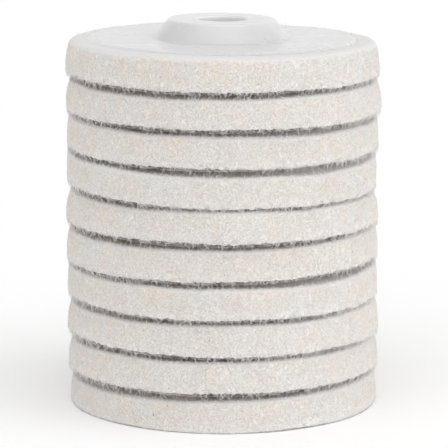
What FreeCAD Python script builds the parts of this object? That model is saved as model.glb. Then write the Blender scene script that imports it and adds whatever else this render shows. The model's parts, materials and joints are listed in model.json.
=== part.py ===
"""A nested stack of ten felt polishing wheels for a 100 mm angle grinder.

Each wheel is three pieces bonded together: a thick ring of pressed wool felt, a moulded plastic hub
with a raised centre boss, and the film of adhesive between them. The hole of each felt ring sits over
the tapered boss of the wheel below, which holds the wheels a little apart, and they lift off the stack
one at a time, straight up.

Frame: +Z up along the hubs' common axis, origin at the centre of the lowest wheel's polishing face.
Units: millimetres.
"""

import FreeCAD, Part
import math
import os
import Sketcher

SHEET = "Sizes"

# Driving dimensions, common to all the wheels.
SIZES = {
    # felt ring
    "felt_hole_diameter": 41.8,   # slips a little way over the boss below, and stops on its taper
    "felt_crown": 0.4,            # how far the rim bulges at mid thickness
    "felt_lower_corner_radius": 0.8,
    "felt_upper_corner_radius": 2.0,
    "felt_hole_corner_radius": 0.6,
    # adhesive film
    "film_thickness": 0.15,
    "film_inner_diameter": 43.0,
    "film_outer_diameter": 85.4,
    # hub: a flat plate with a bevelled edge and a hollow, tapered boss in the middle
    "plate_diameter": 86.6,
    "plate_thickness": 0.8,
    "plate_rim_thickness": 0.25,  # the plate thins to this at its edge
    "plate_bevel_width": 1.7,
    "plate_bevel_radius": 2.0,
    "boss_height": 6.0,           # above the plate
    "boss_base_diameter": 43.0,
    "boss_top_diameter": 34.0,
    "boss_foot_radius": 1.5,      # blends the boss into the plate
    "boss_top_radius": 0.8,
    "bore_diameter": 16.0,
    "bore_edge_radius": 0.6,
    "seat_thickness": 3.0,        # the wall round the bore that the grinder's flanges clamp
    "recess_mouth_diameter": 39.6,
    "recess_seat_diameter": 33.0,
    "recess_mouth_radius": 0.4,
    "recess_seat_radius": 0.8,
    # stack
    "pitch": 11.85,               # from each wheel to the next
    # The topmost ring is cut on a slant, so its hub leans. In degrees: how far, and which way
    # downhill faces, turning from +X towards +Y.
    "slant_angle": 0.73,
    "slant_heading": 38.0,
}

# Felt is cut and glued by hand, so the rings differ a little. One row per wheel, lowest first: the
# ring's diameter and thickness, and how far its rim sits off the hub's axis in X and in Y.
FELT_RINGS = [
    (99.4, 10.0, 0.6, 0.0),
    (100.2, 10.0, 0.5, -0.2),
    (100.6, 10.0, 0.4, 0.1),
    (99.8, 10.0, 0.3, -0.1),
    (100.4, 10.0, 0.2, 0.2),
    (100.2, 10.0, 0.2, -0.1),
    (99.4, 10.0, -0.1, 0.1),
    (99.8, 10.0, 0.4, 0.2),
    (101.0, 10.0, 0.7, -0.2),
    (100.5, 9.75, 0.3, 0.0),
]
SLANTED = len(FELT_RINGS)         # the number of the ring that is cut on a slant
SPARE = 2.0                       # mm, how much too thick that ring starts, before it is cut

HUB_HEIGHT = "(Sizes.plate_thickness + Sizes.boss_height)"
SEAT_UNDERSIDE = "(Sizes.plate_thickness + Sizes.boss_height - Sizes.seat_thickness)"

H_AXIS = -1                       # a sketch's own horizontal axis
ORIGIN = (-1, 1)                  # the sketch's origin, as a geometry and a point
START, END, CENTRE = 1, 2, 3      # the points of a line or an arc
MATCH = 1e-4                      # mm, for picking an edge by its place

doc = FreeCAD.newDocument("FeltPolishingWheels")


def make_sheet():
    """The spreadsheet of driving dimensions: a name, a number, and the name again as the alias."""
    sheet = doc.addObject("Spreadsheet::Sheet", SHEET)
    rows = dict(SIZES)
    for number, (diameter, thickness, shift_x, shift_y) in enumerate(FELT_RINGS, start=1):
        rows[f"ring_diameter_{number:02d}"] = diameter
        rows[f"ring_thickness_{number:02d}"] = thickness
        rows[f"ring_shift_x_{number:02d}"] = shift_x
        rows[f"ring_shift_y_{number:02d}"] = shift_y
    for row, (name, value) in enumerate(rows.items(), start=1):
        sheet.set(f"A{row}", name)
        sheet.set(f"B{row}", str(value))
        sheet.setAlias(f"B{row}", name)
    doc.recompute()
    return sheet


sizes = make_sheet()


def size(name):
    """A driving dimension, read back from the sheet."""
    return float(sizes.get(name))


def new_body(label):
    """An empty body, which names its node."""
    body = doc.addObject("PartDesign::Body", label)
    body.Label = label
    return body


def new_sketch(body, name, plane):
    """A sketch on one of the body's own origin planes."""
    sketch = body.newObject("Sketcher::SketchObject", name)
    support = next(f for f in body.Origin.OriginFeatures if f.Role == plane)
    sketch.AttachmentSupport = [(support, "")]
    sketch.MapMode = "FlatFace"
    return sketch


def constrain(sketch, kind, *where, expression=None, value=1.0):
    """Adds one constraint, and binds it to the sheet if an expression is given."""
    if expression is None:
        return sketch.addConstraint(Sketcher.Constraint(kind, *where))
    index = sketch.addConstraint(Sketcher.Constraint(kind, *where, value))
    sketch.setExpression(f"Constraints[{index}]", expression)
    return index


def place_point(sketch, point, radius, height, guess):
    """Pins a point of a half section: its radius and its height are expressions, or height 0."""
    constrain(sketch, "DistanceX", *ORIGIN, *point, expression=radius, value=guess[0])
    if height == "0":
        constrain(sketch, "PointOnObject", *point, H_AXIS)
    else:
        constrain(sketch, "DistanceY", *ORIGIN, *point, expression=height, value=guess[1])


def join_ends(sketch, count):
    """Closes a chain of edges, each to the next and the last to the first."""
    for edge in range(count):
        constrain(sketch, "Coincident", edge, END, (edge + 1) % count, START)


def value_of(expression):
    """The present value of an expression made of sheet names and arithmetic."""
    for name in SIZES:
        expression = expression.replace(f"{SHEET}.{name}", str(size(name)))
    return float(FreeCAD.Units.Quantity(expression).Value)


def revolve(body, sketch, name):
    """Turns a half section a full turn about the body's Z axis."""
    feature = body.newObject("PartDesign::Revolution", name)
    feature.Profile = sketch
    feature.ReferenceAxis = (sketch, ["V_Axis"])
    feature.Angle = 360.0
    sketch.Visibility = False
    doc.recompute()
    return feature


def round_edges(body, name, chosen, rounding):
    """Fillets the edges of the body's last feature that are chosen, with a radius from the sheet."""
    base = body.Tip
    wanted = [f"Edge{n}" for n, edge in enumerate(base.Shape.Edges, start=1) if chosen(edge)]
    if not wanted:
        raise RuntimeError(f"{name}: no such edge")
    fillet = body.newObject("PartDesign::Fillet", name)
    fillet.Base = (base, wanted)
    fillet.setExpression("Radius", f"{SHEET}.{rounding}")
    doc.recompute()


def circle_at(radius, height):
    """Chooses the level circular edge of that radius and height."""
    def chosen(edge):
        curve = edge.Curve
        if not isinstance(curve, Part.Circle):
            return False
        return abs(curve.Radius - radius) < MATCH and abs(curve.Center.z - height) < MATCH
    return chosen


def slanted_top(nearer, further, axis_x):
    """Chooses the edge of the slanted face that lies between two distances from the ring's middle."""
    def chosen(edge):
        points = edge.discretize(9)
        slope = math.tan(math.radians(size("slant_angle")))
        level = size(f"ring_thickness_{SLANTED:02d}")
        on_face = all(abs(point.z - level + (point.x - axis_x) * slope) < MATCH for point in points)
        distance = math.hypot(points[0].x, points[0].y)
        return on_face and nearer < distance < further
    return chosen


def hub_axis(tag, slanted):
    """Where the hub's axis stands in a ring's own frame, as expressions for X and Y.

    The slanted ring's own frame is turned, so that its +X is downhill.
    """
    x, y = f"Sizes.ring_shift_x_{tag}", f"Sizes.ring_shift_y_{tag}"
    if not slanted:
        return f"-{x}", f"-{y}"
    cosine, sine = "cos(Sizes.slant_heading * 1 deg)", "sin(Sizes.slant_heading * 1 deg)"
    return f"-{x} * {cosine} - {y} * {sine}", f"{x} * {sine} - {y} * {cosine}"


def cut_on_slant(body, tag, axis_x):
    """Takes the top off a ring along a plane that falls towards the ring's own +X."""
    sketch = new_sketch(body, f"felt_slant_{tag}", "XZ_Plane")
    sketch.setExpression("AttachmentOffset.Base.x", axis_x)
    reach = size(f"ring_diameter_{tag}")
    level = size(f"ring_thickness_{tag}")
    fall = reach * math.tan(math.radians(size("slant_angle")))
    corners = [
        FreeCAD.Vector(-reach, level + fall, 0),
        FreeCAD.Vector(reach, level - fall, 0),
        FreeCAD.Vector(reach, level + 2 * SPARE, 0),
        FreeCAD.Vector(-reach, level + 2 * SPARE, 0),
    ]
    for index, corner in enumerate(corners):
        sketch.addGeometry(Part.LineSegment(corner, corners[(index + 1) % len(corners)]))
    join_ends(sketch, len(corners))
    fall_size = f"Sizes.ring_diameter_{tag} * tan(Sizes.slant_angle * 1 deg)"
    reach_size = f"Sizes.ring_diameter_{tag}"
    heights = [
        f"Sizes.ring_thickness_{tag} + {fall_size}",
        f"Sizes.ring_thickness_{tag} - {fall_size}",
        f"Sizes.ring_thickness_{tag} + {2 * SPARE}",
        f"Sizes.ring_thickness_{tag} + {2 * SPARE}",
    ]
    for index, (corner, height) in enumerate(zip(corners, heights)):
        sign = "-" if corner.x < 0 else ""
        place_point(sketch, (index, START), sign + reach_size, height, (corner.x, corner.y))
    cut_away(body, sketch, f"felt_slant_cut_{tag}")


def add_circle(sketch, edge, name):
    """A circle about the sketch's origin, with a diameter from the sheet."""
    circle = Part.Circle(FreeCAD.Vector(0, 0, 0), FreeCAD.Vector(0, 0, 1), size(name) / 2)
    sketch.addGeometry(circle)
    constrain(sketch, "Coincident", edge, CENTRE, *ORIGIN)
    constrain(sketch, "Diameter", edge, expression=f"{SHEET}.{name}", value=size(name))


def cut_away(body, sketch, name):
    """Cuts the sketch's outline through the whole body, both ways."""
    before = body.Shape.Volume
    pocket = body.newObject("PartDesign::Pocket", name)
    pocket.Profile = sketch
    pocket.Type = "ThroughAll"
    pocket.Midplane = True
    sketch.Visibility = False
    doc.recompute()
    if not body.Shape.Volume < before:
        raise RuntimeError(f"{name} took nothing off")


def make_felt(number):
    """A thick felt ring, its rim slightly crowned and its corners worn soft."""
    tag = f"{number:02d}"
    slanted = number == SLANTED
    spare = SPARE if slanted else 0.0
    body = new_body(f"felt_ring_{tag}")
    sketch = new_sketch(body, f"felt_section_{tag}", "XZ_Plane")
    thickness = size(f"ring_thickness_{tag}") + spare
    crown = size("felt_crown")
    corner = size(f"ring_diameter_{tag}") / 2 - crown
    bulge = (thickness**2 / 4 + crown**2) / (2 * crown)

    low_in, high_in = FreeCAD.Vector(0, 0, 0), FreeCAD.Vector(0, thickness, 0)
    low_out, high_out = FreeCAD.Vector(corner, 0, 0), FreeCAD.Vector(corner, thickness, 0)
    rim = Part.Arc(low_out, FreeCAD.Vector(corner + crown, thickness / 2, 0), high_out)
    sketch.addGeometry(Part.LineSegment(low_in, low_out))
    sketch.addGeometry(rim)
    sketch.addGeometry(Part.LineSegment(high_out, high_in))
    sketch.addGeometry(Part.LineSegment(high_in, low_in))
    join_ends(sketch, 4)

    corner_radius = f"Sizes.ring_diameter_{tag} / 2 - Sizes.felt_crown"
    full = f"(Sizes.ring_thickness_{tag} + {spare})"
    bulge_radius = f"({full}^2 / 4 + Sizes.felt_crown^2) / (2 * Sizes.felt_crown)"
    constrain(sketch, "Coincident", 0, START, *ORIGIN)
    constrain(sketch, "Vertical", 3)
    place_point(sketch, (0, END), corner_radius, "0", (corner, 0))
    place_point(sketch, (2, START), corner_radius, full, (corner, thickness))
    constrain(sketch, "Horizontal", 2)
    constrain(sketch, "Radius", 1, expression=bulge_radius, value=bulge)
    revolve(body, sketch, f"felt_turned_{tag}")

    # The hole is centred on the hub, whichever way the rim sits off it.
    outline = new_sketch(body, f"felt_hole_{tag}", "XY_Plane")
    axis_x, axis_y = hub_axis(tag, slanted)
    outline.setExpression("AttachmentOffset.Base.x", axis_x)
    outline.setExpression("AttachmentOffset.Base.y", axis_y)
    add_circle(outline, 0, "felt_hole_diameter")
    cut_away(body, outline, f"felt_hole_cut_{tag}")

    hole = size("felt_hole_diameter") / 2
    upper_corner, upper_hole = circle_at(corner, thickness), circle_at(hole, thickness)
    if slanted:
        cut_on_slant(body, tag, axis_x)
        offset = outline.AttachmentOffset.Base.x
        upper_corner = slanted_top(corner - 1, corner + 1, offset)
        upper_hole = slanted_top(hole - 1, hole + 1, offset)
    round_edges(body, f"felt_lower_corner_{tag}", circle_at(corner, 0), "felt_lower_corner_radius")
    round_edges(body, f"felt_lower_hole_edge_{tag}", circle_at(hole, 0), "felt_hole_corner_radius")
    round_edges(body, f"felt_upper_corner_{tag}", upper_corner, "felt_upper_corner_radius")
    round_edges(body, f"felt_upper_hole_edge_{tag}", upper_hole, "felt_hole_corner_radius")
    body.setExpression("Placement.Base.x", f"Sizes.ring_shift_x_{tag}")
    body.setExpression("Placement.Base.y", f"Sizes.ring_shift_y_{tag}")
    body.setExpression("Placement.Base.z", f"Sizes.pitch * {number - 1}")
    if slanted:
        body.setExpression("Placement.Rotation.Angle", "Sizes.slant_heading")
    return body


def stand_on_felt(body, number, rise):
    """Puts a piece that far above its ring's felt, leaning with the felt if that is cut on a slant."""
    body.setExpression(
        "Placement.Base.z", f"Sizes.pitch * {number - 1} + Sizes.ring_thickness_{number:02d} + {rise}"
    )
    if number == SLANTED:
        heading = math.radians(size("slant_heading"))
        across = FreeCAD.Vector(-math.sin(heading), math.cos(heading), 0)
        body.Placement.Rotation = FreeCAD.Rotation(across, size("slant_angle"))


def make_film(number):
    """The flat ring of set adhesive that holds the felt to the plate."""
    tag = f"{number:02d}"
    body = new_body(f"adhesive_film_{tag}")
    sketch = new_sketch(body, f"film_outline_{tag}", "XY_Plane")
    add_circle(sketch, 0, "film_outer_diameter")
    add_circle(sketch, 1, "film_inner_diameter")
    pad = body.newObject("PartDesign::Pad", f"film_pad_{tag}")
    pad.Profile = sketch
    pad.setExpression("Length", "Sizes.film_thickness")
    sketch.Visibility = False
    doc.recompute()
    stand_on_felt(body, number, "0")
    return body


def make_hub(number):
    """The moulded hub: plate, tapered hollow boss, bored seat, and softened moulding edges."""
    tag = f"{number:02d}"
    body = new_body(f"backing_hub_{tag}")
    sketch = new_sketch(body, f"hub_section_{tag}", "XZ_Plane")
    # The half section, from the underside of the seat round the outside to the recess.
    corners = [
        ("Sizes.bore_diameter / 2", SEAT_UNDERSIDE),
        ("Sizes.bore_diameter / 2", HUB_HEIGHT),
        ("Sizes.boss_top_diameter / 2", HUB_HEIGHT),
        ("Sizes.boss_base_diameter / 2", "Sizes.plate_thickness"),
        ("Sizes.plate_diameter / 2 - Sizes.plate_bevel_width", "Sizes.plate_thickness"),
        ("Sizes.plate_diameter / 2", "Sizes.plate_rim_thickness"),
        ("Sizes.plate_diameter / 2", "0"),
        ("Sizes.recess_mouth_diameter / 2", "0"),
        ("Sizes.recess_seat_diameter / 2", SEAT_UNDERSIDE),
    ]
    at = [(value_of(radius), value_of(height)) for radius, height in corners]
    for index, (radius, height) in enumerate(at):
        following = at[(index + 1) % len(at)]
        line = Part.LineSegment(
            FreeCAD.Vector(radius, height, 0), FreeCAD.Vector(following[0], following[1], 0)
        )
        sketch.addGeometry(line)
    join_ends(sketch, len(corners))
    for index, (radius, height) in enumerate(corners):
        place_point(sketch, (index, START), radius, height, at[index])
    revolve(body, sketch, f"hub_turned_{tag}")

    _, bore_top, boss_top, boss_foot, plate_bevel, _, _, recess_mouth, recess_seat = at
    round_edges(body, f"bore_edge_{tag}", circle_at(*bore_top), "bore_edge_radius")
    round_edges(body, f"boss_top_edge_{tag}", circle_at(*boss_top), "boss_top_radius")
    round_edges(body, f"boss_foot_{tag}", circle_at(*boss_foot), "boss_foot_radius")
    round_edges(body, f"plate_bevel_{tag}", circle_at(*plate_bevel), "plate_bevel_radius")
    round_edges(body, f"recess_mouth_{tag}", circle_at(*recess_mouth), "recess_mouth_radius")
    round_edges(body, f"recess_seat_{tag}", circle_at(*recess_seat), "recess_seat_radius")
    stand_on_felt(body, number, "Sizes.film_thickness")
    return body


def check(body):
    """Stops the build if any feature failed, or if the body isn't one valid solid."""
    for item in doc.Objects:
        if "Invalid" in item.State or "Error" in item.State:
            raise RuntimeError(f"{item.Label} failed: {item.State}")
    shape = body.Shape
    if shape.isNull() or not shape.isValid() or len(shape.Solids) != 1 or shape.Volume <= 0:
        raise RuntimeError(f"{body.Label} isn't one valid solid")


bodies = []
for wheel in range(1, len(FELT_RINGS) + 1):
    bodies += [make_felt(wheel), make_film(wheel), make_hub(wheel)]
doc.recompute()

os.makedirs("parts", exist_ok=True)
for body in bodies:
    check(body)
    body.Shape.exportStep(os.path.join("parts", f"{body.Label}.step"))
    box = body.Shape.BoundBox
    print(f"{body.Label}: {body.Shape.Volume / 1000:.2f} cm3, z {box.ZMin:.2f} to {box.ZMax:.2f}")
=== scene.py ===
"""The looks of a nested stack of felt polishing wheels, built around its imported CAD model.

Every felt ring becomes a fine mesh of pressed wool, lumpy and soft at its edges, with loose fibres of
its own. The moulded hubs and the adhesive films are the CAD parts, with finished materials.
Lengths are in metres, in the CAD model's frame.
"""

import json
import math

import bpy
import numpy as np
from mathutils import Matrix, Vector, noise


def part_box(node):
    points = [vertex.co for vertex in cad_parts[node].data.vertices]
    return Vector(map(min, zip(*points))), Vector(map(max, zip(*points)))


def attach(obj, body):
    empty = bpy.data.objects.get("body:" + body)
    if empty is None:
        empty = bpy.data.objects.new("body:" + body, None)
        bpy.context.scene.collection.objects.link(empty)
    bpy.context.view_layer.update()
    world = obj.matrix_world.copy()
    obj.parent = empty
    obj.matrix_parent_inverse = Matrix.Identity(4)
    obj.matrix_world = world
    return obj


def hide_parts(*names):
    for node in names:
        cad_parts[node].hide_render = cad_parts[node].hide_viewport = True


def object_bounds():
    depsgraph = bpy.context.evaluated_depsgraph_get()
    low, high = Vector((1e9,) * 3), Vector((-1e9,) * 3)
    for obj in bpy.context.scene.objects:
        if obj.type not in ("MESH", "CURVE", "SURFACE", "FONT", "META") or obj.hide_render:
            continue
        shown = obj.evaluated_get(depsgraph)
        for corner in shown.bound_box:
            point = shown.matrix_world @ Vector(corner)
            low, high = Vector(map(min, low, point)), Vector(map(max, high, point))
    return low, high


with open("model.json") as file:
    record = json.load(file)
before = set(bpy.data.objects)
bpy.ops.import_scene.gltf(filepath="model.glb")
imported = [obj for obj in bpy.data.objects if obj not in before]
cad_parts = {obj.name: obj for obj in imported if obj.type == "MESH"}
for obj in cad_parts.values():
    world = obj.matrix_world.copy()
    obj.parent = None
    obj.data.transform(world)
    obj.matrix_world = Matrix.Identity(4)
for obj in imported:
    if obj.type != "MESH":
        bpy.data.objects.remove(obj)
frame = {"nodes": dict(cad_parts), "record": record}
cad_low, cad_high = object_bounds()

MM = 0.001
WHEELS = 10
TAGS = [f"{number:02d}" for number in range(1, WHEELS + 1)]

# ---------------------------------------------------------------- camera

CAMERA_DISTANCE = 0.960          # from the aim point, in the middle of the stack
CAMERA_RISE = 10.7               # degrees above the level of the aim point
CAMERA_PITCH = 10.83             # degrees that the optical axis dips
CAMERA_SIDE = 0.00075            # the stack stands a little left of the picture's middle
AIM_HEIGHT = 0.059
LENS = 239.5
SENSOR = 36.0


def make_camera():
    """A long lens a little above the stack."""
    data = bpy.data.cameras.new("camera")
    data.lens = LENS
    data.sensor_width = SENSOR
    data.clip_start = 0.01
    data.clip_end = 100.0
    camera = bpy.data.objects.new("camera", data)
    rise = math.radians(CAMERA_RISE)
    camera.location = (
        CAMERA_SIDE,
        -CAMERA_DISTANCE * math.cos(rise),
        AIM_HEIGHT + CAMERA_DISTANCE * math.sin(rise),
    )
    camera.rotation_euler = (math.radians(90.0 - CAMERA_PITCH), 0.0, 0.0)
    bpy.context.scene.collection.objects.link(camera)
    bpy.context.scene.camera = camera


# ---------------------------------------------------------------- small node helpers


class Nodes:
    """A material's or a world's node tree, emptied, with short calls for adding and joining nodes."""

    def __init__(self, owner):
        owner.use_nodes = True
        self.tree = owner.node_tree
        self.tree.nodes.clear()

    def add(self, kind, **settings):
        """A node, with its properties set."""
        node = self.tree.nodes.new(kind)
        for name, value in settings.items():
            setattr(node, name, value)
        return node

    def feed(self, node, socket, value):
        """Gives an input a constant, or joins it to another node's output."""
        target = node.inputs[socket]
        if isinstance(value, bpy.types.NodeSocket):
            self.tree.links.new(value, target)
        else:
            target.default_value = value

    def noise(self, vector, scale, detail=2.0, roughness=0.5, distortion=0.0):
        """Noise from 0 to 1, with about as many lumps in a metre as its scale."""
        node = self.add("ShaderNodeTexNoise")
        self.feed(node, "Vector", vector)
        self.feed(node, "Scale", scale)
        self.feed(node, "Detail", detail)
        self.feed(node, "Roughness", roughness)
        self.feed(node, "Distortion", distortion)
        return node.outputs["Fac"]

    def ramp(self, value, low, high, out_low=0.0, out_high=1.0):
        """A smooth step: out_low below low, out_high above high."""
        node = self.add("ShaderNodeMapRange", interpolation_type="SMOOTHSTEP")
        self.feed(node, "Value", value)
        self.feed(node, "From Min", low)
        self.feed(node, "From Max", high)
        self.feed(node, "To Min", out_low)
        self.feed(node, "To Max", out_high)
        return node.outputs["Result"]

    def hairs(self, vector, scale, width, distortion=0.6):
        """Thin wandering lines, 1 along each line and 0 away from it: where a noise is near its mean."""
        field = self.noise(vector, scale, 1.0, 0.5, distortion)
        away = self.math("ABSOLUTE", self.math("SUBTRACT", field, 0.5))
        return self.ramp(away, 0.0, width, 1.0, 0.0)

    def attribute(self, name):
        """A number stored at the mesh's points."""
        return self.add("ShaderNodeAttribute", attribute_name=name).outputs["Fac"]

    def math(self, operation, first, second=0.0):
        """Arithmetic on one or two values."""
        node = self.add("ShaderNodeMath", operation=operation)
        self.feed(node, 0, first)
        self.feed(node, 1, second)
        return node.outputs[0]

    def mix(self, factor, first, second, blend="MIX"):
        """Two colours mixed."""
        node = self.add("ShaderNodeMix", data_type="RGBA", blend_type=blend)
        self.feed(node, 0, factor)
        self.feed(node, 6, first)
        self.feed(node, 7, second)
        return node.outputs[2]

    def bump(self, height, distance, strength=1.0, normal=None):
        """A bump of that distance in metres."""
        node = self.add("ShaderNodeBump")
        self.feed(node, "Height", height)
        self.feed(node, "Distance", distance)
        self.feed(node, "Strength", strength)
        if normal is not None:
            self.feed(node, "Normal", normal)
        return node.outputs["Normal"]

    def position(self, offset=(0.0, 0.0, 0.0), stretch=(1.0, 1.0, 1.0)):
        """The point in the piece's own frame, in metres, moved and stretched."""
        place = self.add("ShaderNodeTexCoord")
        node = self.add("ShaderNodeMapping")
        self.feed(node, "Vector", place.outputs["Object"])
        self.feed(node, "Location", offset)
        self.feed(node, "Scale", stretch)
        return node.outputs["Vector"]

    def surface(self, **sockets):
        """The Principled shader, with its sockets fed, and the output."""
        shader = self.add("ShaderNodeBsdfPrincipled")
        output = self.add("ShaderNodeOutputMaterial")
        self.tree.links.new(shader.outputs["BSDF"], output.inputs["Surface"])
        for name, value in sockets.items():
            self.feed(shader, name.replace("_", " "), value)


def grey(level):
    """An RGBA grey."""
    return (level, level, level, 1.0)


# ---------------------------------------------------------------- materials

WOOL = (0.806, 0.747, 0.704, 1.0)
WOOL_COOL = (0.808, 0.800, 0.765, 1.0)
WOOL_WARM = (0.856, 0.768, 0.667, 1.0)
WOOL_PALE = (0.950, 0.928, 0.908, 1.0)
WOOL_FACE = (0.702, 0.700, 0.697, 1.0)
# Painted shade: the darker, browner felt between the wheels, where the wheel above shades it.
WOOL_PAINTED_SHADE = (0.540, 0.445, 0.380, 1.0)
WOOL_SPECK = (0.400, 0.340, 0.300, 1.0)
FIBRE = (0.960, 0.935, 0.910, 1.0)

PLASTIC = grey(0.64)
PLASTIC_CLOUDED = grey(0.67)
# Painted light: paler plastic for the faces that look up, the bevelled edge and the bore's wall.
PLASTIC_PAINTED_LIGHT = grey(0.86)
PLASTIC_BORE_PAINTED_LIGHT = grey(0.95)
# Where the plastic is paler, by the distance from the axis in millimetres: start and end of the change,
# and the share of the paler colour before and after it. This is painted light: the boss's top and the
# plate, which face up, are paler than the boss's flank, and the bevelled edge paler still, against its
# shade.
PAINTED_LIGHT_ZONES = [(16.6, 17.6, 0.20, 0.0), (21.0, 23.5, 0.0, 0.42), (41.6, 42.4, 0.0, 0.6)]
BORE_EDGE = (8.05, 8.3)          # and where the bore's pale wall, painted light in the recess, gives way to the boss

ADHESIVE_AMBER = (0.70, 0.58, 0.36, 1.0)
ADHESIVE_CREAM = (0.83, 0.76, 0.60, 1.0)
PAPER = grey(0.96)


def felt_material():
    """Pressed wool: warm and cool mottles, a tangle of pale hairs and a few dark specks."""
    material = bpy.data.materials.new("wool_felt")
    nodes = Nodes(material)
    # Each noise is moved by an offset of its own, so that no two of them follow each other.
    warm = nodes.ramp(nodes.noise(nodes.position(), 150.0, 3.0, 0.6), 0.42, 0.66)
    cool = nodes.ramp(nodes.noise(nodes.position((0.3, 0.1, 0.7)), 100.0, 3.0, 0.6), 0.40, 0.62)
    colour = nodes.mix(nodes.math("MULTIPLY", warm, 0.85), WOOL, WOOL_WARM)
    colour = nodes.mix(nodes.math("MULTIPLY", cool, 0.75), colour, WOOL_COOL)
    level = nodes.attribute("level")
    colour = nodes.mix(nodes.ramp(level, 0.05, 0.42, 0.45, 0.0), colour, WOOL_PALE)

    grain = nodes.noise(nodes.position((0.6, 0.2, 0.9)), 2100.0, 2.0, 0.6, 0.8)
    shade = nodes.ramp(grain, 0.34, 0.66, 0.84, 1.08)
    colour = nodes.mix(1.0, colour, shade, "MULTIPLY")
    coarse = nodes.hairs(nodes.position((0.2, 0.5, 0.1), (1.0, 1.0, 0.7)), 620.0, 0.030)
    fine = nodes.hairs(nodes.position((0.7, 0.8, 0.3)), 1150.0, 0.045)
    tangle = nodes.math("MAXIMUM", coarse, fine)
    colour = nodes.mix(nodes.math("MULTIPLY", tangle, 0.75), colour, WOOL_PALE)

    specks = nodes.noise(nodes.position((0.9, 0.4, 0.2)), 1300.0, 1.0, 0.4)
    colour = nodes.mix(nodes.ramp(specks, 0.755, 0.79), colour, WOOL_SPECK)

    # The moulded face, where the hub sits, is paler and smoother than the cut rim.
    face = nodes.ramp(level, 0.84, 0.99)
    colour = nodes.mix(nodes.math("MULTIPLY", face, 0.9), colour, WOOL_FACE)
    # Further in, under the wheel above, painted shade darkens it.
    colour = nodes.mix(nodes.math("MULTIPLY", nodes.attribute("painted_shade"), 0.85), colour, WOOL_PAINTED_SHADE)
    rough = nodes.ramp(level, 0.84, 0.99, 1.0, 0.15)
    normal = nodes.bump(grain, 0.00020, rough)
    normal = nodes.bump(tangle, 0.00010, rough, normal)
    nodes.surface(
        Base_Color=colour,
        Roughness=0.95,
        Normal=normal,
        Specular_IOR_Level=0.15,
        Sheen_Weight=0.15,
        Sheen_Roughness=0.5,
    )
    return material


def fibre_material():
    """Loose wool fibres, paler than the felt that they stand out of."""
    material = bpy.data.materials.new("wool_fibre")
    nodes = Nodes(material)
    nodes.surface(
        Base_Color=FIBRE,
        Roughness=0.8,
        Specular_IOR_Level=0.3,
    )
    return material


def plastic_material():
    """Satin moulded white plastic, faintly clouded and scuffed, with painted light: paler in some zones
    and in the bore.
    """
    material = bpy.data.materials.new("moulded_plastic")
    nodes = Nodes(material)
    cloud = nodes.noise(nodes.position(), 90.0, 3.0, 0.5)
    colour = nodes.mix(nodes.ramp(cloud, 0.35, 0.7), PLASTIC, PLASTIC_CLOUDED)
    flat = nodes.add("ShaderNodeVectorMath", operation="LENGTH")
    nodes.feed(flat, 0, nodes.position(stretch=(1.0, 1.0, 0.0)))
    radius = flat.outputs["Value"]
    # Painted light: paler where the plastic faces up and on its bevelled edge.
    for start, stop, before, after in PAINTED_LIGHT_ZONES:
        paler = nodes.ramp(radius, start * MM, stop * MM, before, after)
        colour = nodes.mix(paler, colour, PLASTIC_PAINTED_LIGHT)
    # Painted light: the bore's wall is paler, lifting its shade.
    bore = nodes.ramp(radius, BORE_EDGE[0] * MM, BORE_EDGE[1] * MM, 1.0, 0.0)
    colour = nodes.mix(bore, colour, PLASTIC_BORE_PAINTED_LIGHT)
    scuff = nodes.noise(nodes.position(stretch=(0.25, 1.0, 1.0)), 160.0, 1.0, 0.5)
    roughness = nodes.ramp(scuff, 0.3, 0.7, 0.27, 0.33)
    nodes.surface(
        Base_Color=colour,
        Roughness=roughness,
        Normal=nodes.bump(cloud, 0.00010),
        Specular_IOR_Level=0.7,
        Subsurface_Weight=0.5,
        Subsurface_Radius=(1.0, 1.0, 1.0),
        Subsurface_Scale=0.004,
    )
    return material


def adhesive_material():
    """Set contact adhesive: cream to amber, uneven and slightly glossy."""
    material = bpy.data.materials.new("set_adhesive")
    nodes = Nodes(material)
    patch = nodes.noise(nodes.position(), 350.0, 3.0, 0.6)
    nodes.surface(
        Base_Color=nodes.mix(nodes.ramp(patch, 0.35, 0.65), ADHESIVE_AMBER, ADHESIVE_CREAM),
        Roughness=nodes.ramp(patch, 0.3, 0.7, 0.25, 0.5),
        Normal=nodes.bump(patch, 0.0001),
    )
    return material


def floor_material():
    """Plain pale paper."""
    material = bpy.data.materials.new("floor")
    nodes = Nodes(material)
    nodes.surface(
        Base_Color=PAPER,
        Roughness=0.9,
        Specular_IOR_Level=0.1,
    )
    return material


# ---------------------------------------------------------------- floor and light


def make_floor():
    """A wide pale disc under the stack."""
    radius, segments = 30.0, 96
    mesh = bpy.data.meshes.new("floor")
    angles = [2 * math.pi * step / segments for step in range(segments)]
    ring = [(radius * math.cos(angle), radius * math.sin(angle), 0.0) for angle in angles]
    mesh.from_pydata(ring, [], [list(range(segments))])
    floor = bpy.data.objects.new("floor", mesh)
    floor.location.z = cad_low.z
    mesh.materials.append(floor_material())
    bpy.context.scene.collection.objects.link(floor)


CEILING = 0.58                   # how bright the room is high up, as a share of its brightest


def make_sun(name, strength, softness, azimuth, elevation):
    """A soft distant light. Azimuth 0 is behind the camera and 90 is on the right, in degrees."""
    data = bpy.data.lights.new(name, "SUN")
    data.energy = strength
    data.angle = math.radians(softness)
    lamp = bpy.data.objects.new(name, data)
    around, above = math.radians(azimuth), math.radians(elevation)
    towards = Vector(
        (math.sin(around) * math.cos(above), -math.cos(around) * math.cos(above), math.sin(above))
    )
    lamp.rotation_mode = "QUATERNION"
    lamp.rotation_quaternion = towards.to_track_quat("Z", "Y")
    bpy.context.scene.collection.objects.link(lamp)


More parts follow.
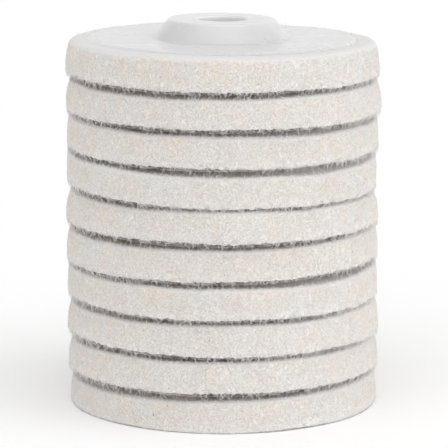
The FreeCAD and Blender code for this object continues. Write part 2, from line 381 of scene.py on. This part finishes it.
def make_light():
    """A large softbox above the camera, a smaller one on the right, and a pale room."""
    make_sun("overhead", strength=1.21, softness=70.0, azimuth=-4.0, elevation=66.0)
    make_sun("side", strength=0.75, softness=50.0, azimuth=75.0, elevation=20.0)

    world = bpy.data.worlds.new("room")
    bpy.context.scene.world = world
    nodes = Nodes(world)
    place = nodes.add("ShaderNodeTexCoord")
    split = nodes.add("ShaderNodeSeparateXYZ")
    nodes.feed(split, "Vector", place.outputs["Generated"])
    # The room is bright low down all round, and higher up behind the stack.
    behind = nodes.ramp(split.outputs["Y"], 0.3, 0.8)
    walls = nodes.ramp(split.outputs["Z"], 0.08, 0.30, 1.0, CEILING)
    backdrop = nodes.ramp(split.outputs["Z"], 0.35, 0.60, 1.0, CEILING)
    level = nodes.math("MAXIMUM", walls, nodes.math("MULTIPLY", behind, backdrop))
    background = nodes.add("ShaderNodeBackground")
    nodes.feed(background, "Color", grey(1.0))
    nodes.feed(background, "Strength", level)
    output = nodes.add("ShaderNodeOutputWorld")
    nodes.tree.links.new(background.outputs[0], output.inputs["Surface"])
    bpy.context.scene.view_settings.view_transform = "Standard"


# ---------------------------------------------------------------- felt rings

AROUND = 720                     # mesh columns round a ring
SIDE_STEP = 0.45 * MM            # mesh rows on the rim and near it
FACE_STEP = 2.4 * MM             # and on the faces that are covered
FINE_FROM = 40.5 * MM            # the radius at which the fine rows start
HOLE_RADIUS = 20.9 * MM
HOLE_CORNER = 0.6 * MM
SEAT_RADIUS = 43.0 * MM          # the felt is clamped flat inside this
LOOSE_RIM = 1.5 * MM             # and quite free this far in from its rim
CLAMPED = 0.15                   # the share of its lumps that is left where it is clamped
FILM = 0.15 * MM
WORN = 0.13 * MM                 # how far the loose surface lies inside the true one, on average

PAINTED_SHADE_FROM = 1.5 * MM           # in from the rim, where the painted shade between the wheels starts
PAINTED_SHADE_FULL = 5.0 * MM
# Where that painted shade is lighter, as painted light at the ends of the gaps: on the right (1) or the
# left (-1), by how much, and how far that way, as a share of the radius, the lightening starts and is
# complete.
LIGHTER_PAINTED_SHADE = [(1, 0.9, -0.1, 0.8), (-1, 0.3, 0.6, 1.0)]

LOW_CORNER = 0.7 * MM            # the polishing edge is cut square
HIGH_CORNER = 1.4 * MM           # the moulded one is round
PLATE_RADIUS = 43.25 * MM        # the felt is pressed against the plate's edge
LIP = 0.10 * MM                  # how far the felt swells up round the plate's edge
LIP_CORNER = 0.08 * MM
# The topmost ring, which nothing has pressed, is rounder and swells up to the plate's bevel.
TOP_CORNER = 2.4 * MM
TOP_LIP = 0.43 * MM

# The wool's lumps, and its ragged polishing edge: wavelengths and heights.
LUMPS = [(22 * MM, 0.25 * MM), (7 * MM, 0.14 * MM), (2.4 * MM, 0.09 * MM), (0.9 * MM, 0.07 * MM)]
RAGGED = [(1.4 * MM, 0.45 * MM)]
RAGGED_UP_TO = (0.05, 0.25)      # how far up the ring the raggedness starts to fade, and ends

RIM_WAVES = (2, 3, 5, 7, 11)     # waves in a turn
WAVE_HEIGHT = (0.02, 0.10)       # the least and the most, in millimetres

# How each ring's rim departs from a true one, lowest ring first, in millimetres: how far its side draws
# in at its lower and its upper end, how far its lower and its upper rim drop towards the right, and how
# far they drop towards the front.
RIM_SHAPES = [
    (0.05, 0.70, 0.0, -0.8, 0.0, 0.0),
    (0.05, 1.00, -0.4, -0.4, -0.8, -0.7),
    (0.05, 1.05, 0.3, -0.4, -0.5, -0.4),
    (0.05, 0.30, 0.5, 0.1, -0.1, 0.1),
    (0.05, 0.95, -0.6, -0.5, -0.3, -0.3),
    (0.05, 1.25, 0.2, 0.4, -0.5, -0.3),
    (0.05, 0.10, 1.1, 0.7, 0.5, 0.7),
    (0.05, 0.40, 0.1, 0.6, 0.0, 0.1),
    (0.10, 1.20, 0.2, 0.0, -0.3, 0.3),
    (0.05, 0.85, 0.4, -0.1, 0.2, 0.0),
]
MOUNTS = {mount["name"]: mount for mount in frame["record"]["mounts"]}


def arc_points(centre_r, centre_z, radius, start, stop, count):
    """Points on a circular arc of the section, angles in degrees, both ends included."""
    angles = np.radians(np.linspace(start, stop, count))
    return np.stack([centre_r + radius * np.cos(angles), centre_z + radius * np.sin(angles)], 1)


def line_points(start, stop, step):
    """Points on a straight run of the section, both ends left out."""
    start, stop = np.array(start), np.array(stop)
    count = max(2, int(np.ceil(np.linalg.norm(stop - start) / step)))
    share = np.linspace(0.0, 1.0, count + 1)[1:-1, None]
    return start + (stop - start) * share


def felt_section(outer, height, low_inset, high_inset, high_corner, swell):
    """The ring's section as a closed loop of (radius, height) points, counter-clockwise.

    Its side is a parabola that draws in towards both ends. Beyond the plate's edge the felt swells up,
    all the way to its upper corner.
    """
    low_centre = outer - low_inset - LOW_CORNER
    high_centre = outer - high_inset - high_corner
    run = line_points((outer, LOW_CORNER), (outer, height + swell - high_corner), SIDE_STEP)
    level = (run[:, 1] - LOW_CORNER) / (height + swell - LOW_CORNER - high_corner)
    low_root, high_root = math.sqrt(low_inset), math.sqrt(high_inset)
    run[:, 0] -= (low_root - (low_root + high_root) * level) ** 2
    hole_low = (HOLE_RADIUS + HOLE_CORNER, HOLE_CORNER)
    hole_high = (HOLE_RADIUS + HOLE_CORNER, height - HOLE_CORNER)
    lip_middle = (PLATE_RADIUS + LIP_CORNER, height + swell - LIP_CORNER)
    shoulder = (high_centre, height - high_corner + swell)
    return np.concatenate([
        arc_points(*hole_low, HOLE_CORNER, 180, 270, 4),
        line_points((hole_low[0], 0.0), (FINE_FROM, 0.0), FACE_STEP),
        line_points((FINE_FROM, 0.0), (low_centre, 0.0), SIDE_STEP),
        arc_points(low_centre, LOW_CORNER, LOW_CORNER, -90, 0, 6),
        run,
        arc_points(*shoulder, high_corner, 0, 90, 9),
        line_points((high_centre, height + swell), (lip_middle[0], height + swell), SIDE_STEP),
        arc_points(*lip_middle, LIP_CORNER, 90, 180, 4),
        line_points((PLATE_RADIUS, height), (hole_high[0], height), FACE_STEP),
        arc_points(*hole_high, HOLE_CORNER, 90, 180, 4),
        line_points((HOLE_RADIUS, hole_high[1]), (HOLE_RADIUS, HOLE_CORNER), FACE_STEP),
    ])


def section_normals(section):
    """The outward normal at each point of a closed, counter-clockwise section."""
    ahead = np.roll(section, -1, axis=0) - np.roll(section, 1, axis=0)
    outward = np.stack([ahead[:, 1], -ahead[:, 0]], 1)
    return outward / np.linalg.norm(outward, axis=1)[:, None]


def smooth_step(value, low, high):
    """0 below low, 1 above high, smooth between."""
    share = np.clip((value - low) / (high - low), 0.0, 1.0)
    return share * share * (3 - 2 * share)


def lumps(points, seed, scales):
    """Noise at each point: the sum, over (wavelength, height), of smooth lumps of that size."""
    total = np.zeros(len(points))
    for wavelength, height in scales:
        shift = Vector((seed * 3.1, wavelength * 900.0, seed * 1.7))
        total += height * np.array(
            [noise.noise(Vector(point) / wavelength + shift) for point in points.tolist()]
        )
    return total


def rim_drop(angle, right, front, random):
    """How far a rim drops at each angle: leans to the right and to the front, and random waves."""
    drop = right * np.cos(angle) - front * np.sin(angle)
    for cycles in RIM_WAVES:
        phase = random.uniform(0, 2 * np.pi)
        drop += random.uniform(*WAVE_HEIGHT) * MM * np.cos(cycles * angle + phase)
    return drop


def painted_gap_shade(depth, cosine):
    """How much painted shade the felt gets, from 0 to 1, by how deep it lies between the wheels and by
    the angle.
    """
    gap_shade = np.ones(AROUND)
    for side, lightening, start, stop in LIGHTER_PAINTED_SHADE:
        gap_shade -= lightening * smooth_step(side * cosine, start, stop)
    return smooth_step(depth, PAINTED_SHADE_FROM, PAINTED_SHADE_FULL) * gap_shade


def make_mesh(name, points, loops, starts, material):
    """A mesh from flat arrays: the corners' vertices, and where each face starts among them."""
    mesh = bpy.data.meshes.new(name)
    mesh.vertices.add(len(points))
    mesh.vertices.foreach_set("co", np.ascontiguousarray(points, np.float32).ravel())
    mesh.loops.add(len(loops))
    mesh.loops.foreach_set("vertex_index", np.ascontiguousarray(loops, np.int32))
    mesh.polygons.add(len(starts))
    mesh.polygons.foreach_set("loop_start", np.ascontiguousarray(starts, np.int32))
    mesh.update(calc_edges=True)
    mesh.shade_smooth()
    mesh.materials.append(material)
    piece = bpy.data.objects.new(name, mesh)
    bpy.context.scene.collection.objects.link(piece)
    return piece


def felt_surface(tag, number, shape, random):
    """The displaced ring, row by row round its section: its points, the outward normal at each, how
    far up the ring each is and how much painted shade it gets between the wheels, both from 0 to 1."""
    low_inset, high_inset, low_right, high_right, low_front, high_front = [
        value * MM for value in shape
    ]
    low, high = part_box(f"felt_ring_{tag}")
    film_low, film_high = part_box(f"adhesive_film_{tag}")
    centre = (low + high) / 2
    outer = (high.x - low.x) / 2
    height = (film_low.z + film_high.z - FILM) / 2 - low.z
    hub_axis = MOUNTS[f"spindle_bore_{tag}"]["axis"]
    top = (TOP_CORNER, TOP_LIP) if number == WHEELS else (HIGH_CORNER, LIP)
    section = felt_section(outer, height, low_inset, high_inset, *top)
    normals = section_normals(section)

    angle = np.linspace(0, 2 * np.pi, AROUND, endpoint=False)
    radius = np.repeat(section[:, :1], AROUND, 1)
    level = np.repeat(section[:, 1:], AROUND, 1)
    out_r = np.repeat(normals[:, :1], AROUND, 1)
    out_z = np.repeat(normals[:, 1:], AROUND, 1)

    free = smooth_step(radius, SEAT_RADIUS, outer - LOOSE_RIM)
    share = level / level.max()
    drop = rim_drop(angle, low_right, low_front, random) * (1 - share)
    drop += rim_drop(angle, high_right, high_front, random) * share
    level = level - drop * free
    cosine, sine = np.cos(angle), np.sin(angle)
    level -= share * radius * (hub_axis[0] * cosine + hub_axis[1] * sine) / hub_axis[2]

    points = np.stack([radius * cosine, radius * sine, level], 2)
    raised = lumps(points.reshape(-1, 3), number, LUMPS).reshape(radius.shape)
    # The lowest ring's polishing edge is pressed smooth on what the stack stands on.
    if number > 1:
        ragged = lumps(points.reshape(-1, 3), number + WHEELS, RAGGED).reshape(radius.shape)
        raised += ragged * (1 - smooth_step(share, *RAGGED_UP_TO))
    raised = (raised - WORN) * (CLAMPED + (1 - CLAMPED) * free)
    normal = np.stack([out_r * cosine, out_r * sine, out_z], 2)
    points = points + normal * raised[:, :, None]
    points[:, :, :2] += np.array([centre.x, centre.y]) * free[:, :, None]
    points[:, :, 2] += low.z
    points[:, :, 2] = np.maximum(points[:, :, 2], cad_low.z)
    # How much painted shade each point gets between the wheels.
    painted_shade = painted_gap_shade(outer - radius, cosine)
    # Nothing covers the topmost ring, so only its lower half gets the painted shade.
    if number == WHEELS:
        painted_shade = painted_shade * (share < 0.5)
    return points, normal, share, painted_shade


def make_felt(tag, points, share, painted_shade, material):
    """The felt ring's mesh, which stands for the plain CAD ring."""
    rows, columns = points.shape[:2]
    index = np.arange(rows * columns).reshape(rows, columns)
    up, on = np.roll(index, -1, axis=0), np.roll(index, -1, axis=1)
    corner = np.roll(up, -1, axis=1)
    faces = np.stack([index, on, corner, up], 2).reshape(-1, 4)
    piece = make_mesh(
        f"wool_felt_{tag}", points.reshape(-1, 3), faces.ravel(), np.arange(len(faces)) * 4, material
    )
    # The painted shade between the wheels is stored with the level, for the felt's material.
    for name, values in (("level", share), ("painted_shade", painted_shade)):
        attribute = piece.data.attributes.new(name, "FLOAT", "POINT")
        attribute.data.foreach_set("value", np.ascontiguousarray(values, np.float32).ravel())
    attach(piece, f"wheel_{tag}")
    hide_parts(f"felt_ring_{tag}")


# ---------------------------------------------------------------- loose fibres

KNOTS = 5                        # points along a fibre
SIDES = 3                        # sides of its tube
TAPER = np.array([0.6, 1.0, 1.0, 0.85, 0.35])
ASTRAY = 0.05                    # how far a fibre may lead away from the axis, as a share of its length
WANDER = 0.9                     # radians that a fibre typically turns on its way
CURL = (-0.9, 0.6)               # the least and the most of its standing off that its far half keeps
OFF_FLOOR = 0.02 * MM            # no fibre reaches lower


def unit(vectors):
    """Vectors of length 1."""
    return vectors / np.linalg.norm(vectors, axis=-1, keepdims=True)


def fibre_tubes(roots, first, last, lengths, radii, random):
    """Closed, tapered, three-sided tubes along quadratic curves: points, corners and face starts."""
    count = len(roots)
    middle = roots + first * lengths[:, None] * 0.5
    end = middle + last * lengths[:, None] * 0.5
    share = np.linspace(0, 1, KNOTS)[None, :, None]
    line = (
        roots[:, None] * (1 - share) ** 2
        + middle[:, None] * 2 * share * (1 - share)
        + end[:, None] * share**2
    )
    along = unit(np.gradient(line, axis=1))
    across = unit(np.cross(along, unit(random.normal(size=(count, 1, 3)))))
    other = np.cross(along, across)
    turn = (np.arange(SIDES) * 2 * np.pi / SIDES)[None, None, :, None]
    thick = (radii[:, None] * TAPER[None, :])[:, :, None, None]
    around = across[:, :, None] * np.cos(turn) + other[:, :, None] * np.sin(turn)
    points = line[:, :, None] + thick * around

    knot, side = np.meshgrid(np.arange(KNOTS - 1), np.arange(SIDES), indexing="ij")
    here, beside = knot * SIDES + side, knot * SIDES + (side + 1) % SIDES
    walls = np.stack([here, beside, beside + SIDES, here + SIDES], 2).reshape(-1)
    root_cap = np.arange(SIDES)[::-1]
    tip_cap = np.arange(SIDES) + (KNOTS - 1) * SIDES
    loops = np.concatenate([walls, root_cap, tip_cap])
    sizes = np.array([4] * ((KNOTS - 1) * SIDES) + [SIDES, SIDES])
    starts = np.concatenate([[0], np.cumsum(sizes)[:-1]])
    base = np.arange(count)[:, None]
    all_loops = (loops[None] + base * KNOTS * SIDES).ravel()
    all_starts = (starts[None] + base * len(loops)).ravel()
    return points.reshape(-1, 3), all_loops, all_starts


# The fibres of a ring: where they are rooted, how many, their shortest and longest length and their
# thinnest and thickest radius in millimetres, and then, from least to most, how far they stand off
# the surface and how far they turn down.
FIBRE_SETS = [
    ("rim", 2500, (1.0, 3.4), (0.035, 0.070), (-0.02, 0.06), (0.0, 0.0)),
    ("lower_edge", 2500, (1.0, 3.2), (0.030, 0.056), (-0.10, 0.10), (-0.3, 1.2)),
    ("upper_edge", 1800, (0.8, 2.4), (0.028, 0.052), (-0.10, 0.12), (-1.0, 0.2)),
    ("under", 400, (1.2, 3.5), (0.020, 0.045), (0.0, 0.20), (0.0, 0.5)),
]
# On the topmost ring nothing covers the upper edge, and its fibres lie flat.
TOPMOST_FIBRES = ("top", 350, (1.0, 3.0), (0.020, 0.035), (-0.03, 0.0), (0.0, 0.0))

EDGE_WIDTH = 3.0 * MM            # the edges' fibres are rooted this far in from the rim at most
TOP_FIBRES_FROM = PLATE_RADIUS + 2.0 * MM  # the radius from which the top's fibres are rooted


def rooting_rows(points, normal, share):
    """The rows of the ring's surface where each set of fibres is rooted.

    The slope is 1 where the surface faces up, 0 on the side and -1 underneath.
    """
    radius = np.linalg.norm(points[:, :, :2] - points[:, :, :2].mean((0, 1)), axis=2).mean(1)
    slope, level = normal[:, 0, 2], share[:, 0]
    outermost = radius > radius.max() - EDGE_WIDTH
    return {
        "rim": np.flatnonzero((abs(slope) < 0.6) & (radius > FINE_FROM)),
        "lower_edge": np.flatnonzero((level < 0.12) & (slope > -0.8) & outermost),
        "upper_edge": np.flatnonzero((level > 0.80) & (slope < 0.95) & outermost),
        "top": np.flatnonzero((slope > 0.9) & (radius > TOP_FIBRES_FROM)),
        "under": np.flatnonzero(slope < -0.9),
    }


def held_in(directions, outward):
    """Directions turned back along the rim where they lead away from the ring's axis."""
    excess = np.maximum(np.sum(directions * outward, axis=1) - ASTRAY, 0.0)
    return unit(directions - outward * excess[:, None])


def strands(points, normal, rows, count, length, radius, lift, droop, random):
    """Fibres rooted on some rows of the surface: roots, two directions, lengths and radii."""
    row = random.choice(rows, count)
    column = random.integers(0, points.shape[1], count)
    out = normal[row, column]
    round_way = unit(np.cross(np.array([0.0, 0.0, 1.0]), out + np.array([1e-4, 0, 0])))
    up_way = np.cross(out, round_way)
    turn = random.uniform(0, 2 * np.pi, count)
    flat = round_way * np.cos(turn)[:, None] + up_way * np.sin(turn)[:, None]
    bend = turn + random.normal(0, WANDER, count)
    flat_end = round_way * np.cos(bend)[:, None] + up_way * np.sin(bend)[:, None]
    stand = random.uniform(*lift, (count, 1))
    curl = stand * random.uniform(*CURL, (count, 1))
    upright = np.array([0.0, 0.0, 1.0])
    outward = unit(points[row, column] * (1.0, 1.0, 0.0))
    first = held_in(unit(flat + out * stand - upright * random.uniform(*droop, (count, 1))), outward)
    last = held_in(unit(flat_end + out * curl - upright * random.uniform(*droop, (count, 1))), outward)
    lengths = random.uniform(*length, count) * MM
    radii = random.uniform(*radius, count) * MM
    roots = points[row, column] - out * radii[:, None]
    return roots, first, last, lengths, radii


def make_fibres(tag, number, points, normal, share, random, material):
    """One ring's loose fibres: lying on its rim, fringing its edges, and a few hanging under it."""
    rows = rooting_rows(points, normal, share)
    kinds = [kind for kind in FIBRE_SETS if number < WHEELS or kind[0] != "upper_edge"]
    if number == WHEELS:
        kinds.append(TOPMOST_FIBRES)
    sets = [strands(points, normal, rows[where], *how, random) for where, *how in kinds]
    tubes, loops, starts = fibre_tubes(*[np.concatenate(values) for values in zip(*sets)], random)
    tubes[:, 2] = np.maximum(tubes[:, 2], cad_low.z + OFF_FLOOR)
    piece = make_mesh(f"wool_fibres_{tag}", tubes, loops, starts, material)
    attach(piece, f"wheel_{tag}")


# ---------------------------------------------------------------- build


def paint(node, material):
    """Gives a CAD node its finished material."""
    cad_part = frame["nodes"][node]
    cad_part.data.materials.clear()
    cad_part.data.materials.append(material)


make_camera()
make_light()
make_floor()
felt, fibre = felt_material(), fibre_material()
plastic, adhesive = plastic_material(), adhesive_material()
for number, (tag, shape) in enumerate(zip(TAGS, RIM_SHAPES), start=1):
    random = np.random.default_rng(number)
    points, normals, levels, painted_shade = felt_surface(tag, number, shape, random)
    make_felt(tag, points, levels, painted_shade, felt)
    make_fibres(tag, number, points, normals, levels, random, fibre)
    paint(f"backing_hub_{tag}", plastic)
    paint(f"adhesive_film_{tag}", adhesive)
